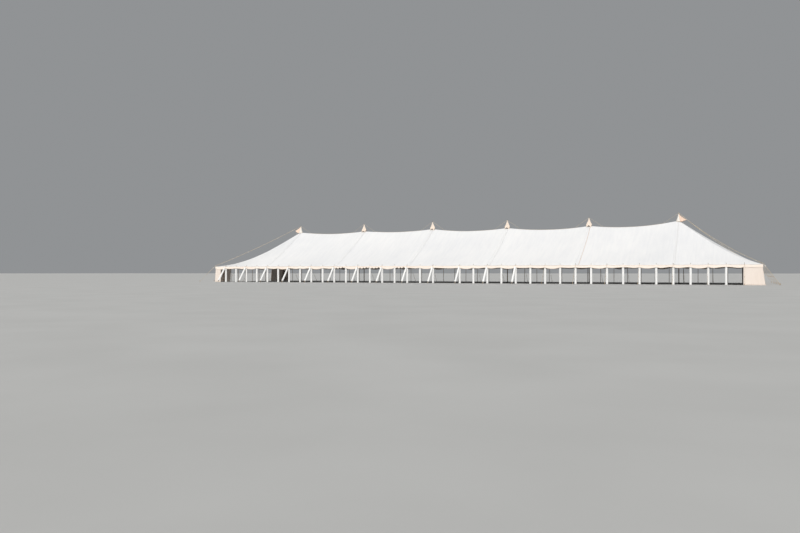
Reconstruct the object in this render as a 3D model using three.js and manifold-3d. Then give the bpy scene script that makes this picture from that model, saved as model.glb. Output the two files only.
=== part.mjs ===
// A peg-and-pole marquee as a 1:10 scale model, in millimetres.
// +X runs along the ridge to the end that is closed by a wall, -Y is the open front with the entrance,
// +Z is up, and the origin is on the ground under the middle of the ridge.

import * as THREE from "three";
import { mergeVertices } from "three/addons/utils/BufferGeometryUtils.js";
import Module from "manifold-3d";

const wasm = await Module();
wasm.setup();

// Driving dimensions of the plan
const SPACING = 200; // between side poles, 2.0 m on the real tent
const SECTION = 6 * SPACING; // between king poles
const END = 5 * SPACING; // from the last king pole to the end eave, and half the width
const SIDE_SPACINGS = 40; // along the front or the rear
const END_SPACINGS = 10; // across an end
const HALF_WIDTH = END;
const HALF_LENGTH = (SIDE_SPACINGS / 2) * SPACING;

// Driving dimensions of the canvas
const PEAKS = [830, 822, 828, 817, 816, 855]; // canvas height at each king pole, left to right
const EAVE = 250; // canvas height along the eaves
const VALANCE = 33; // drop of the strip that hangs from the eaves
const CANVAS = 2;
const CANVAS_UPRIGHT = 2.3; // the same thickness, measured upright through the slope
const SEAM_GAP = 0.3; // between two laced sections
const RIDGE_SAGS = [36, 30, 40, 42, 48]; // of the ridge between each two king poles
const SEAM_SAG = 24; // of the slope, under the laced seam at a king pole
const BAY_SAG = 36; // of the slope, halfway between king poles
const END_SAG = 30; // down the middle of an end
const LEFT_HIP_SAG = 109;
const RIGHT_HIP_SAG = 67;
const LOW_SAG = 1.2; // above 1 an end hangs lowest near its eave
const CROWN_HOLE = 13; // radius of the hole round a king pole

// Driving dimensions of the poles
const SLEEVED_POLE = 11.5; // radius of a front side pole in its cloth sleeve
const BARE_POLE = 4; // radius of a rear or end side pole
const POLE_SIDES = 8;
const POLE_GAP = 0.1; // from a side pole's flat top up to the canvas over its outer edge
const WALL_LINE_RADIUS = 1;
const WALL_LINE_DROP = 16; // the wall line's height under the eave
const KING_RADIUS = 6;
const KING_PLATE_RADIUS = 22;
const KING_PLATE = 3;
const KING_TOP = 10; // the thick pole's top above the canvas
const SPIKE_RADIUS = 2.5;
const SPIKE_STANDS = 17; // above the bonnet's neck
const CROWN_RADIUS = 19;
const CROWN_SEAT = 7.4; // the crown's narrow top, below the canvas height at the pole
const CROWN_SLOPE = 0.8;
const CROWN_THICKNESS = 3;

// Driving dimensions of the ropes and pegs
const ROPE_RADIUS = 1.2;
const HIP_ROPE_RADIUS = 1.32;
const ROPE_SIDES = 6;
const ROPE_GAP = 0.4; // between a rope and the canvas that it lies on
const SLEEVE_RADIUS = 11.5; // cloth round a guy
const LAST_SLEEVED_GUY = 25; // the front guys further right are bare
// The shares of a guy's length where its bare rope ends, its sleeve is full, and the rope is bare again
const SLEEVE_SHARES = [0, 0.03, 0.09, 0.92, 0.97, 1];
const GUY_REACH = 180; // from the eave to the peg
const CORNER_REACH = 170; // along X and along Y, from the corner to its peg
const PEG_RADIUS = 2.4;
const PEG_HEIGHT = 24;
const PEG_LEAN = 0.22; // sideways for each millimetre up, away from the tent
const PEG_TIE = 12; // height of the rope's loop on the peg
const LOOP_HEIGHT = 4; // a rope's loop round a spike
const LOOP_RADIUS = 5;
const LOOP_HOLE = 3;
const RIDGE_LOOP = 2; // the lowest loop's foot above the bonnet's neck
const STAY_RUN = SPACING; // how far from the spike the ridge rope comes down to the canvas
const LEFT_HIP_ROPE_SAG = 24;
const RIGHT_HIP_ROPE_SAG = 58;
const HIP_ROPE_CLEARANCE = 7; // above the corner of the canvas

// Driving dimensions of the bonnets over the king poles
const BONNET_TOP = 110; // its neck above the canvas height at the pole
const BONNET_RIM = 38; // radius where it rests on the canvas
const END_BONNET_TOP = 95; // the same for the two end bonnets, which have a hood
const END_BONNET_RIM = 28;
const BONNET_CLOTH = 1.6;
const BONNET_TOP_RADIUS = 4.9;
const BONNET_GAP = 2.4; // from the canvas up to the rim
const BONNET_HOLLOW = 1.45; // above 1 the hood's sides are hollow
const ARCH_HALF_ANGLE = 0.7; // radians, of each arch between two of the four corners
const ARCH_HEIGHT = 30;
const HOOD_REACH = 72; // how much further an end bonnet's hood reaches than its rim
const LEFT_HOOD_LIP = 32; // height of that hood's lip above the canvas height at the pole
const RIGHT_HOOD_LIP = 12;
const HOOD_HALF_ANGLE = 1.05;

// Driving dimensions of the wall cloths
const WALL_TOP = 240;
const WALL_FLARE_TOP = 216; // a wall hangs straight down to here and flares below
const WALL_CLOTH = 1.5;
const WALL_GAP = 0.3; // on either side of the wall, to the side poles and to the valance
const RIGHT_FLARE = 30; // how far the right end wall's foot stands out
const LEFT_FLARE = 16;
const LEFT_WALL_DEPTH = 2 * SPACING; // along the left end, from each corner
const LEFT_WALL_RETURN = 0.5 * SPACING; // along the front and the rear, from the left corners

// Positions that follow from them
const KINGS = PEAKS.map((_, i) => (i - (PEAKS.length - 1) / 2) * SECTION);
const LAST_KING = KINGS[KINGS.length - 1];
const isEndKing = (index) => index === 0 || index === KINGS.length - 1;
const neckHeight = (index) => PEAKS[index] + (isEndKing(index) ? END_BONNET_TOP : BONNET_TOP);
const WALL_FACE = CANVAS + WALL_GAP + WALL_CLOTH; // from the eave in to the wall's inner face
const inset = (poleRadius) => WALL_FACE + WALL_GAP + poleRadius; // from the eave in to a side pole's axis
const EAVE_ROPE_OUT = ROPE_RADIUS + ROPE_GAP; // from the eave out to the eave rope's axis
const EAVE_ROPE_HEIGHT = EAVE - 3;

const MATERIALS = {
  canvas: new THREE.MeshStandardMaterial({ color: 0xf3f2f0, roughness: 0.85, metalness: 0 }),
  wall: new THREE.MeshStandardMaterial({ color: 0xf1e6dc, roughness: 0.9, metalness: 0 }),
  bonnet: new THREE.MeshStandardMaterial({ color: 0xf6dfcf, roughness: 0.9, metalness: 0 }),
  sleeve: new THREE.MeshStandardMaterial({ color: 0xfaf8f5, roughness: 0.9, metalness: 0 }),
  timber: new THREE.MeshStandardMaterial({ color: 0x9c7448, roughness: 0.7, metalness: 0 }),
  rope: new THREE.MeshStandardMaterial({ color: 0xb39a70, roughness: 0.95, metalness: 0 }),
};

const marquee = new THREE.Group();

function addNode(name, geometry, material) {
  const mesh = new THREE.Mesh(geometry, material);
  mesh.name = name;
  marquee.add(mesh);
}

// A closed geometry as a solid for joining and cutting.
function solidOf(geometry) {
  const bare = geometry.clone();
  bare.deleteAttribute("normal");
  bare.deleteAttribute("uv");
  const merged = mergeVertices(bare, 1e-3);
  return new wasm.Manifold(
    new wasm.Mesh({
      numProp: 3,
      vertProperties: merged.attributes.position.array,
      triVerts: new Uint32Array(merged.index.array),
    }),
  );
}

function geometryOf(solid) {
  const mesh = solid.getMesh();
  const geometry = new THREE.BufferGeometry();
  geometry.setAttribute("position", new THREE.BufferAttribute(mesh.vertProperties, 3));
  geometry.setIndex(new THREE.BufferAttribute(mesh.triVerts, 1));
  geometry.computeVertexNormals();
  return geometry;
}

function joined(geometries) {
  return geometryOf(geometries.map(solidOf).reduce((a, b) => a.add(b)));
}

function cutBy(geometry, ...tools) {
  return geometryOf(tools.map(solidOf).reduce((a, b) => a.subtract(b), solidOf(geometry)));
}

// A sheet with a thickness: two grids of points, outer and inner, of rows that hold equally many points.
// Seen from outside, a row runs from left to right and the rows run downwards. With wrap, a row is a ring.
function thickSheet(outer, inner, wrap = false) {
  const rows = outer.length;
  const columns = outer[0].length;
  const positions = [...outer.flat(), ...inner.flat()].flatMap((p) => [p.x, p.y, p.z]);
  const top = (r, c) => r * columns + (c % columns);
  const under = (r, c) => rows * columns + top(r, c);
  const faces = [];
  const quad = (a, b, c, d) => faces.push(a, b, c, a, c, d);
  const lastColumn = wrap ? columns : columns - 1;
  for (let r = 0; r < rows - 1; r++)
    for (let c = 0; c < lastColumn; c++) {
      quad(top(r, c), top(r + 1, c), top(r + 1, c + 1), top(r, c + 1));
      quad(under(r, c), under(r, c + 1), under(r + 1, c + 1), under(r + 1, c));
    }
  for (let c = 0; c < lastColumn; c++) {
    quad(top(0, c), top(0, c + 1), under(0, c + 1), under(0, c));
    quad(top(rows - 1, c + 1), top(rows - 1, c), under(rows - 1, c), under(rows - 1, c + 1));
  }
  for (let r = 0; r < rows - 1 && !wrap; r++) {
    quad(top(r + 1, 0), top(r, 0), under(r, 0), under(r + 1, 0));
    quad(top(r, lastColumn), top(r + 1, lastColumn), under(r + 1, lastColumn), under(r, lastColumn));
  }
  const geometry = new THREE.BufferGeometry();
  geometry.setAttribute("position", new THREE.Float32BufferAttribute(positions, 3));
  geometry.setIndex(faces);
  geometry.computeVertexNormals();
  return geometry;
}

// A closed tube through points that lie in one upright plane, with a radius for each point or one for all.
function tube(points, radius, sides = ROPE_SIDES) {
  const run = points[points.length - 1].clone().sub(points[0]);
  const side = new THREE.Vector3(-run.y, run.x, 0);
  if (side.length() < 1e-6) side.set(0, 1, 0);
  side.normalize();
  const positions = [];
  points.forEach((p, i) => {
    const before = points[Math.max(i - 1, 0)];
    const after = points[Math.min(i + 1, points.length - 1)];
    const along = after.clone().sub(before).normalize();
    const lift = new THREE.Vector3().crossVectors(along, side).normalize();
    const r = Array.isArray(radius) ? radius[i] : radius;
    for (let s = 0; s < sides; s++) {
      const angle = (2 * Math.PI * s) / sides;
      const corner = p.clone().addScaledVector(side, r * Math.cos(angle));
      corner.addScaledVector(lift, r * Math.sin(angle));
      positions.push(corner.x, corner.y, corner.z);
    }
  });
  const faces = [];
  for (let i = 0; i < points.length - 1; i++)
    for (let s = 0; s < sides; s++) {
      const a = i * sides + s;
      const b = i * sides + ((s + 1) % sides);
      faces.push(a, b, a + sides, b, b + sides, a + sides);
    }
  const last = (points.length - 1) * sides;
  for (let s = 1; s < sides - 1; s++) {
    faces.push(0, s + 1, s);
    faces.push(last, last + s, last + s + 1);
  }
  const geometry = new THREE.BufferGeometry();
  geometry.setAttribute("position", new THREE.Float32BufferAttribute(positions, 3));
  geometry.setIndex(faces);
  return geometry;
}

function upright(radius, from, to, x, y, sides = 8, topRadius = radius) {
  const geometry = new THREE.CylinderGeometry(topRadius, radius, to - from, sides);
  geometry.rotateX(Math.PI / 2);
  geometry.translate(x, y, (from + to) / 2);
  return geometry;
}

// 0 at both ends of a span and 1 in its middle.
const bow = (t) => 4 * t * (1 - t);
const mix = THREE.MathUtils.lerp;
const at = (x, y, z) => new THREE.Vector3(x, y, z);

function steps(from, to, count) {
  return Array.from({ length: count + 1 }, (_, i) => mix(from, to, i / count));
}

// Height of the canvas between two king poles.
function sectionHeight(x, y) {
  const section = THREE.MathUtils.clamp(Math.floor((x - KINGS[0]) / SECTION), 0, PEAKS.length - 2);
  const u = (x - KINGS[section]) / SECTION;
  const t = Math.abs(y) / HALF_WIDTH;
  const ridge = mix(PEAKS[section], PEAKS[section + 1], u) - RIDGE_SAGS[section] * bow(u);
  const sag = mix(SEAM_SAG, BAY_SAG, bow(u));
  return mix(ridge, EAVE, t) - sag * bow(t);
}

// Height of the canvas beyond the last king pole, where the slopes meet in two hips.
function endHeight(x, y) {
  const peak = x < 0 ? PEAKS[0] : PEAKS[PEAKS.length - 1];
  const out = Math.abs(x) - LAST_KING;
  const across = Math.abs(y);
  const far = Math.max(out, across, 1e-6);
  const towardsHip = Math.min(out, across) / far;
  const low = bow((far / END) ** LOW_SAG);
  const straight = across > out ? SEAM_SAG * bow(far / END) : END_SAG * low;
  const hip = (x < 0 ? LEFT_HIP_SAG : RIGHT_HIP_SAG) * low;
  return mix(peak, EAVE, far / END) - mix(straight, hip, towardsHip);
}

const canvasHeight = (x, y) => (Math.abs(x) > LAST_KING ? endHeight(x, y) : sectionHeight(x, y));

// The roof canvas
const SLOPE_SHARES = [1, 0.84, 0.66, 0.48, 0.3, 0.14, 0];
const SECTION_STEPS = 6;
const END_SHARES = [0.014, 0.09, 0.21, 0.36, 0.52, 0.68, 0.84, 0.95, 1];
const HIP_STEPS = 5;
const END_FACE_STEPS = 8;

const onCanvas = (x, y) => at(x, y, canvasHeight(x, y));
const underCanvas = (x, y) => at(x, y, canvasHeight(x, y) - CANVAS_UPRIGHT);

function kingHole(x) {
  return upright(CROWN_HOLE, EAVE, 2 * Math.max(...PEAKS), x, 0, 16);
}

function roofSection(index) {
  const from = KINGS[index] + SEAM_GAP / 2;
  const to = KINGS[index + 1] - SEAM_GAP / 2;
  const across = [...SLOPE_SHARES.map((t) => -t), ...SLOPE_SHARES.slice(0, -1).reverse()];
  const outer = [];
  const inner = [];
  const inside = HALF_WIDTH - CANVAS;
  const hem = (y) => steps(from, to, SECTION_STEPS).map((x) => at(x, y, EAVE - VALANCE));
  outer.push(hem(HALF_WIDTH));
  inner.push(hem(inside));
  for (const share of across.reverse()) {
    const xs = steps(from, to, SECTION_STEPS);
    outer.push(xs.map((x) => onCanvas(x, share * HALF_WIDTH)));
    inner.push(xs.map((x) => underCanvas(x, share * inside)));
  }
  outer.push(hem(-HALF_WIDTH));
  inner.push(hem(-inside));
  return cutBy(thickSheet(outer, inner), kingHole(KINGS[index]), kingHole(KINGS[index + 1]));
}

// The plan of one ring of the end canvas: along the front slope to the hip, across the end, and back.
function endRing(side, reach, seam) {
  const start = side * (LAST_KING + seam);
  const far = side * (LAST_KING + reach);
  const front = steps(start, far, HIP_STEPS).map((x) => [x, -reach]);
  const face = steps(-reach, reach, END_FACE_STEPS).map((y) => [far, y]);
  const rear = steps(far, start, HIP_STEPS).map((x) => [x, reach]);
  return [...front, ...face.slice(1, -1), ...rear];
}

function roofEnd(side) {
  const seam = SEAM_GAP / 2;
  const insideShare = 1 - CANVAS / END;
  const ring = (share) => endRing(side, share * END, seam);
  const outer = END_SHARES.map((share) => ring(share).map(([x, y]) => onCanvas(x, y)));
  const inner = END_SHARES.map((share) => ring(share * insideShare).map(([x, y]) => underCanvas(x, y)));
  outer.push(ring(1).map(([x, y]) => at(x, y, EAVE - VALANCE)));
  inner.push(ring(insideShare).map(([x, y]) => at(x, y, EAVE - VALANCE)));
  const mirrored = side < 0;
  const turned = (grid) => (mirrored ? grid.map((row) => [...row].reverse()) : grid);
  return cutBy(thickSheet(turned(outer), turned(inner)), kingHole(side * LAST_KING));
}

addNode("roof_end_left", roofEnd(-1), MATERIALS.canvas);
for (let i = 0; i < KINGS.length - 1; i++)
  addNode(`roof_section_${i + 1}`, roofSection(i), MATERIALS.canvas);
addNode("roof_end_right", roofEnd(1), MATERIALS.canvas);

// King poles: base plate, pole, the crown that carries the canvas, and the spike above it
function kingPole(index) {
  const x = KINGS[index];
  const peak = PEAKS[index];
  const seat = peak - CROWN_SEAT;
  const rim = seat - CROWN_SLOPE * (CROWN_RADIUS - KING_RADIUS);
  return joined([
    upright(KING_PLATE_RADIUS, 0, KING_PLATE, x, 0, 12),
    upright(KING_RADIUS, KING_PLATE / 2, peak + KING_TOP, x, 0, 12),
    upright(CROWN_RADIUS, rim, seat, x, 0, 12, KING_RADIUS),
    upright(CROWN_RADIUS, rim - CROWN_THICKNESS, rim, x, 0, 12),
    upright(SPIKE_RADIUS, peak, neckHeight(index) + SPIKE_STANDS, x, 0, 8),
  ]);
}

PEAKS.forEach((_, i) => addNode(`king_pole_${i + 1}`, kingPole(i), MATERIALS.timber));

// Bonnets: cloth hoods round the spikes, which rest on the canvas
const BONNET_SIDES = 16;
const BONNET_ROWS = [0, 0.25, 0.6, 1];

// How far an arch is open in one direction, from 0 at its feet to 1 at its middle.
function openness(angle, facing, halfAngle) {
  const off = Math.abs(Math.atan2(Math.sin(angle - facing), Math.cos(angle - facing)));
  return off < halfAngle ? Math.cos((Math.PI / 2) * (off / halfAngle)) ** 0.7 : 0;
}

// A bonnet rests on the canvas at four corners and is arched between them. On an end bonnet the outer arch
// is a hood that reaches out over the vent.
function bonnetRim(index, angle) {
  const x = KINGS[index];
  const quarter = Math.round(angle / (Math.PI / 2)) * (Math.PI / 2);
  const arch = openness(angle, quarter, ARCH_HALF_ANGLE);
  const hood = isEndKing(index) ? openness(angle, x > 0 ? 0 : Math.PI, HOOD_HALF_ANGLE) : 0;
  const radius = (isEndKing(index) ? END_BONNET_RIM : BONNET_RIM) + HOOD_REACH * hood;
  const canvas = canvasHeight(x + radius * Math.cos(angle), radius * Math.sin(angle));
  const height = canvas + BONNET_GAP + ARCH_HEIGHT * arch;
  const lip = PEAKS[index] + (x < 0 ? LEFT_HOOD_LIP : RIGHT_HOOD_LIP);
  return { radius, height: hood > 0 ? Math.max(mix(height, lip, hood), height) : height };
}

function bonnet(index) {
  const x = KINGS[index];
  const angles = steps(0, 2 * Math.PI, BONNET_SIDES).slice(0, -1);
  const surface = (inset) =>
    BONNET_ROWS.map((v) =>
      angles.map((angle) => {
        const { radius, height } = bonnetRim(index, angle);
        const r = mix(BONNET_TOP_RADIUS, radius, v ** BONNET_HOLLOW) - inset;
        const z = mix(neckHeight(index), height, v);
        return at(x + r * Math.cos(angle), r * Math.sin(angle), z);
      }),
    );
  return thickSheet(surface(0), surface(BONNET_CLOTH), true);
}

PEAKS.forEach((_, i) => addNode(`bonnet_${i + 1}`, bonnet(i), MATERIALS.bonnet));

// Side poles: runs of poles on one wall line
const ENTRANCE_POLE = 20; // left out of the front, for the wide entrance
const RUN = 10;

function sidePole(x, y, radius) {
  const around = steps(0, 2 * Math.PI, POLE_SIDES);
  const canvas = around.map((a) => canvasHeight(x + radius * Math.cos(a), y + radius * Math.sin(a)));
  return upright(radius, 0, Math.min(...canvas) - CANVAS_UPRIGHT - POLE_GAP, x, y, POLE_SIDES);
}

function wallLine(fromX, fromY, toX, toY) {
  const z = EAVE - WALL_LINE_DROP;
  return tube([at(fromX, fromY, z), at(toX, toY, z)], WALL_LINE_RADIUS);
}

// X of a pole on a long side. The corner poles stand in from both eaves.
function poleX(index, radius) {
  const corner = HALF_LENGTH - inset(radius);
  return THREE.MathUtils.clamp(index * SPACING - HALF_LENGTH, -corner, corner);
}

// A run's wall line ends short of the next run's first pole, or on its own last pole beside the entrance.
function sideRun(side, first, last, radius) {
  const y = side * (HALF_WIDTH - inset(radius));
  const indices = Array.from({ length: last - first + 1 }, (_, i) => first + i);
  const standing = indices.filter((i) => !(side < 0 && i === ENTRANCE_POLE));
  const from = poleX(standing[0], radius);
  const ownLast = poleX(standing[standing.length - 1], radius);
  const goesOn = last < SIDE_SPACINGS && standing.includes(last);
  const to = goesOn ? poleX(last + 1, radius) - radius - SEAM_GAP : ownLast;
  return joined([...standing.map((i) => sidePole(poleX(i, radius), y, radius)), wallLine(from, y, to, y)]);
}

function endRun(side) {
  const x = side * (HALF_LENGTH - inset(BARE_POLE));
  const inner = Array.from({ length: END_SPACINGS - 1 }, (_, i) => (i + 1) * SPACING - HALF_WIDTH);
  const front = inset(SLEEVED_POLE) + SLEEVED_POLE + SEAM_GAP - HALF_WIDTH;
  const rear = HALF_WIDTH - inset(BARE_POLE) - BARE_POLE - SEAM_GAP;
  return joined([...inner.map((y) => sidePole(x, y, BARE_POLE)), wallLine(x, front, x, rear)]);
}

for (const [name, side, radius, material] of [
  ["front", -1, SLEEVED_POLE, MATERIALS.sleeve],
  ["rear", 1, BARE_POLE, MATERIALS.timber],
])
  for (let run = 0; run < SIDE_SPACINGS / RUN; run++) {
    const first = run === 0 ? 0 : run * RUN + 1;
    addNode(`${name}_poles_${run + 1}`, sideRun(side, first, (run + 1) * RUN, radius), material);
  }
addNode("left_end_poles", endRun(-1), MATERIALS.timber);
addNode("right_end_poles", endRun(1), MATERIALS.timber);

// Guys: ropes from the eave rope to their pegs, in cloth sleeves where people pass
function peg(x, y, leanX, leanY) {
  const geometry = upright(PEG_RADIUS, 0, PEG_HEIGHT, 0, 0, ROPE_SIDES);
  const shear = new THREE.Matrix4().makeShear(0, 0, 0, 0, leanX * PEG_LEAN, leanY * PEG_LEAN);
  return geometry.applyMatrix4(shear).translate(x, y, 0);
}

// A guy that leaves the eave rope at x, y and goes outwards along a unit direction.
function guy(x, y, outX, outY, sleeved = false) {
  const top = at(x, y, EAVE_ROPE_HEIGHT);
  const foot = at(x + GUY_REACH * outX, y + GUY_REACH * outY, 0);
  const tie = foot.clone().add(at(outX, outY, 0).multiplyScalar(PEG_LEAN * PEG_TIE)).setZ(PEG_TIE);
  const [rope, sleeve] = [ROPE_RADIUS, SLEEVE_RADIUS];
  const points = SLEEVE_SHARES.map((share) => top.clone().lerp(tie, share));
  const inSleeve = () => tube(points, [rope, rope, sleeve, sleeve, rope, rope]);
  return [sleeved ? inSleeve() : tube([top, tie], rope), peg(foot.x, foot.y, outX, outY)];
}

function guysAlongSide(side, from, to) {
  const y = side * (HALF_WIDTH + EAVE_ROPE_OUT);
  const indices = Array.from({ length: SIDE_SPACINGS / 2 }, (_, i) => 2 * i + 1);
  const here = indices.filter((i) => i * SPACING - HALF_LENGTH > from && i * SPACING - HALF_LENGTH < to);
  const rope = tube([at(from, y, EAVE_ROPE_HEIGHT), at(to, y, EAVE_ROPE_HEIGHT)], ROPE_RADIUS);
  const isSleeved = (i) => side < 0 && i <= LAST_SLEEVED_GUY;
  return joined([rope, ...here.flatMap((i) => guy(i * SPACING - HALF_LENGTH, y, 0, side, isSleeved(i)))]);
}

function guysAcrossEnd(side) {
  const x = side * (HALF_LENGTH + EAVE_ROPE_OUT);
  const indices = Array.from({ length: END_SPACINGS / 2 }, (_, i) => 2 * i + 1);
  const reach = HALF_WIDTH - SPACING / 2;
  const rope = tube([at(x, -reach, EAVE_ROPE_HEIGHT), at(x, reach, EAVE_ROPE_HEIGHT)], ROPE_RADIUS);
  return joined([rope, ...indices.flatMap((i) => guy(x, i * SPACING - HALF_WIDTH, side, 0))]);
}

for (const [name, side] of [["front", -1], ["rear", 1]]) {
  addNode(`${name}_guys_left`, guysAlongSide(side, -HALF_LENGTH, -SEAM_GAP / 2), MATERIALS.rope);
  addNode(`${name}_guys_right`, guysAlongSide(side, SEAM_GAP / 2, HALF_LENGTH), MATERIALS.rope);
}
addNode("left_end_guys", guysAcrossEnd(-1), MATERIALS.rope);
addNode("right_end_guys", guysAcrossEnd(1), MATERIALS.rope);

// The ridge rope: from spike to spike, lying on the ridge in between
function spikeLoop(x, foot) {
  return cutBy(
    upright(LOOP_RADIUS, foot, foot + LOOP_HEIGHT, x, 0, 8),
    upright(LOOP_HOLE, foot - 1, foot + LOOP_HEIGHT + 1, x, 0, 8),
  );
}

const RIDGE_ROPE_STEPS = SECTION_STEPS - 2; // the same steps as the canvas that it lies on
const LOOP_GRIP = LOOP_RADIUS - 1; // how far from the spike's axis a rope enters its loop

function ridgeRope() {
  const clear = ROPE_RADIUS + ROPE_GAP;
  const loopMiddle = RIDGE_LOOP + LOOP_HEIGHT / 2;
  const spans = KINGS.slice(0, -1).map((x, i) => {
    const lying = steps(x + STAY_RUN, x + SECTION - STAY_RUN, RIDGE_ROPE_STEPS);
    return tube(
      [
        at(x + LOOP_GRIP, 0, neckHeight(i) + loopMiddle),
        ...lying.map((px) => at(px, 0, canvasHeight(px, 0) + clear)),
        at(x + SECTION - LOOP_GRIP, 0, neckHeight(i + 1) + loopMiddle),
      ],
      ROPE_RADIUS,
    );
  });
  return joined([...KINGS.map((x, i) => spikeLoop(x, neckHeight(i) + RIDGE_LOOP)), ...spans]);
}

addNode("ridge_rope", ridgeRope(), MATERIALS.rope);

// Hip ropes: from an end spike over the hip and the corner to the corner peg
const HIP_ROPE_STEPS = 8;

function hipRope(endSide, side) {
  const king = endSide < 0 ? 0 : PEAKS.length - 1;
  const level = side < 0 ? 1 : 2; // the front rope's loop lies under the rear one's
  const foot = neckHeight(king) + RIDGE_LOOP + level * (LOOP_HEIGHT + SEAM_GAP);
  const diagonal = Math.SQRT1_2;
  const start = at(
    endSide * (LAST_KING + LOOP_GRIP * diagonal),
    side * LOOP_GRIP * diagonal,
    foot + LOOP_HEIGHT / 2,
  );
  const cornerX = endSide * (HALF_LENGTH + ROPE_RADIUS);
  const cornerY = side * (HALF_WIDTH + ROPE_RADIUS);
  const corner = at(cornerX, cornerY, EAVE + HIP_ROPE_CLEARANCE);
  const pegX = endSide * (HALF_LENGTH + CORNER_REACH);
  const pegY = side * (HALF_WIDTH + CORNER_REACH);
  const lean = PEG_LEAN * PEG_TIE * diagonal;
  const tie = at(pegX + endSide * lean, pegY + side * lean, PEG_TIE);
  const hip = steps(0, 1, HIP_ROPE_STEPS).map((t) => {
    const p = start.clone().lerp(corner, t);
    return p.setZ(p.z - (endSide < 0 ? LEFT_HIP_ROPE_SAG : RIGHT_HIP_ROPE_SAG) * bow(t));
  });
  return joined([
    spikeLoop(KINGS[king], foot),
    tube([...hip, tie], HIP_ROPE_RADIUS),
    peg(pegX, pegY, endSide * diagonal, side * diagonal),
  ]);
}

for (const [end, endSide] of [["left", -1], ["right", 1]])
  for (const [name, side] of [["front", -1], ["rear", 1]])
    addNode(`hip_rope_${name}_${end}`, hipRope(endSide, side), MATERIALS.rope);

// Wall cloths. A plan point has a place at the top and another, further out, at the foot.
function wall(plan) {
  const row = (height, place) => plan.map((p) => at(...place(p), height));
  const faces = (top, foot) => [row(WALL_TOP, top), row(WALL_FLARE_TOP, top), row(0, foot)];
  return thickSheet(
    faces((p) => p.outerTop, (p) => p.outerFoot),
    faces((p) => p.innerTop, (p) => p.innerFoot),
  );
}

// A plan point given by how far the inner face is from the middle along X and Y, and its flare along X.
// An axis marked thick carries the cloth's thickness.
function planPoint(x, y, flare, thickX, thickY) {
  const grow = (value, thick) => value + Math.sign(value) * (thick ? WALL_CLOTH : 0);
  const foot = x + Math.sign(x) * flare;
  return {
    innerTop: [x, y],
    outerTop: [grow(x, thickX), grow(y, thickY)],
    innerFoot: [foot, y],
    outerFoot: [grow(foot, thickX), grow(y, thickY)],
  };
}

const WALL_Y = HALF_WIDTH - WALL_FACE;
const WALL_X = HALF_LENGTH - WALL_FACE;
const FIRST_BAY_X = HALF_LENGTH - SPACING;

function rightCornerWall(side) {
  const plan = [
    planPoint(FIRST_BAY_X, side * WALL_Y, 0, false, true),
    planPoint(WALL_X - WALL_GAP, side * WALL_Y, RIGHT_FLARE, false, true),
  ];
  return wall(side < 0 ? plan : plan.reverse());
}

function rightEndWall() {
  const reach = WALL_Y + WALL_CLOTH;
  return wall([-reach, reach].map((y) => planPoint(WALL_X, y, RIGHT_FLARE, true, false)));
}

function leftCornerWall(side) {
  const plan = [
    planPoint(-WALL_X, side * (HALF_WIDTH - LEFT_WALL_DEPTH), LEFT_FLARE, true, false),
    planPoint(-WALL_X, side * WALL_Y, LEFT_FLARE, true, true),
    planPoint(LEFT_WALL_RETURN - WALL_X, side * WALL_Y, 0, false, true),
  ];
  return wall(side < 0 ? plan : plan.reverse());
}

addNode("wall_front_right", rightCornerWall(-1), MATERIALS.wall);
addNode("wall_end_right", rightEndWall(), MATERIALS.wall);
addNode("wall_rear_right", rightCornerWall(1), MATERIALS.wall);
addNode("wall_front_left", leftCornerWall(-1), MATERIALS.wall);
addNode("wall_rear_left", leftCornerWall(1), MATERIALS.wall);

export default marquee;
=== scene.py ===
import math

import bpy
import numpy as np
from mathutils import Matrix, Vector


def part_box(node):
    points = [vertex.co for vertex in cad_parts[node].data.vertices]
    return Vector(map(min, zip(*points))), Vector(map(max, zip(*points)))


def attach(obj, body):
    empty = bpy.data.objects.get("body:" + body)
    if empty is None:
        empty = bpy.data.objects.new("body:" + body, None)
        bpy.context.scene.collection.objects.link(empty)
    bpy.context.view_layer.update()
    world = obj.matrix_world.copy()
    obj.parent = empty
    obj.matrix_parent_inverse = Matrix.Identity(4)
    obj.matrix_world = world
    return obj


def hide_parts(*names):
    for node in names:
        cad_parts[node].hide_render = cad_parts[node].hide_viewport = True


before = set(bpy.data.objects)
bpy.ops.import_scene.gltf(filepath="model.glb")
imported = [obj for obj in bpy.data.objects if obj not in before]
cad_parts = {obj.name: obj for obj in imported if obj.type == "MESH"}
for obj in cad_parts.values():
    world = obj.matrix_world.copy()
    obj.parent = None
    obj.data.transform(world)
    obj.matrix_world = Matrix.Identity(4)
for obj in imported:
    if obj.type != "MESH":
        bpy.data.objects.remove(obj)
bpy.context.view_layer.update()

# Plan and canvas, with the same driving dimensions as the CAD part
SPACING = 0.2
SECTION = 6 * SPACING
END = 5 * SPACING
SIDE_SPACINGS = 40
END_SPACINGS = 10
HALF_WIDTH = END
HALF_LENGTH = SIDE_SPACINGS / 2 * SPACING
EAVE = 0.25
VALANCE = 0.033
RIDGE_SAGS = np.array([0.036, 0.030, 0.040, 0.042, 0.048])
SEAM_SAG = 0.024
BAY_SAG = 0.036
END_SAG = 0.030
LEFT_HIP_SAG = 0.109
RIGHT_HIP_SAG = 0.067
LOW_SAG = 1.2  # above 1 an end sags most below the middle of its slope
SEAM_GAP = 0.0003
CROWN_HOLE = 0.014
ENDS = (("left", -1), ("right", 1))
SIDES = (("front", -1), ("rear", 1))  # as the step of a slice, the number turns a line round on one side

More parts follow.
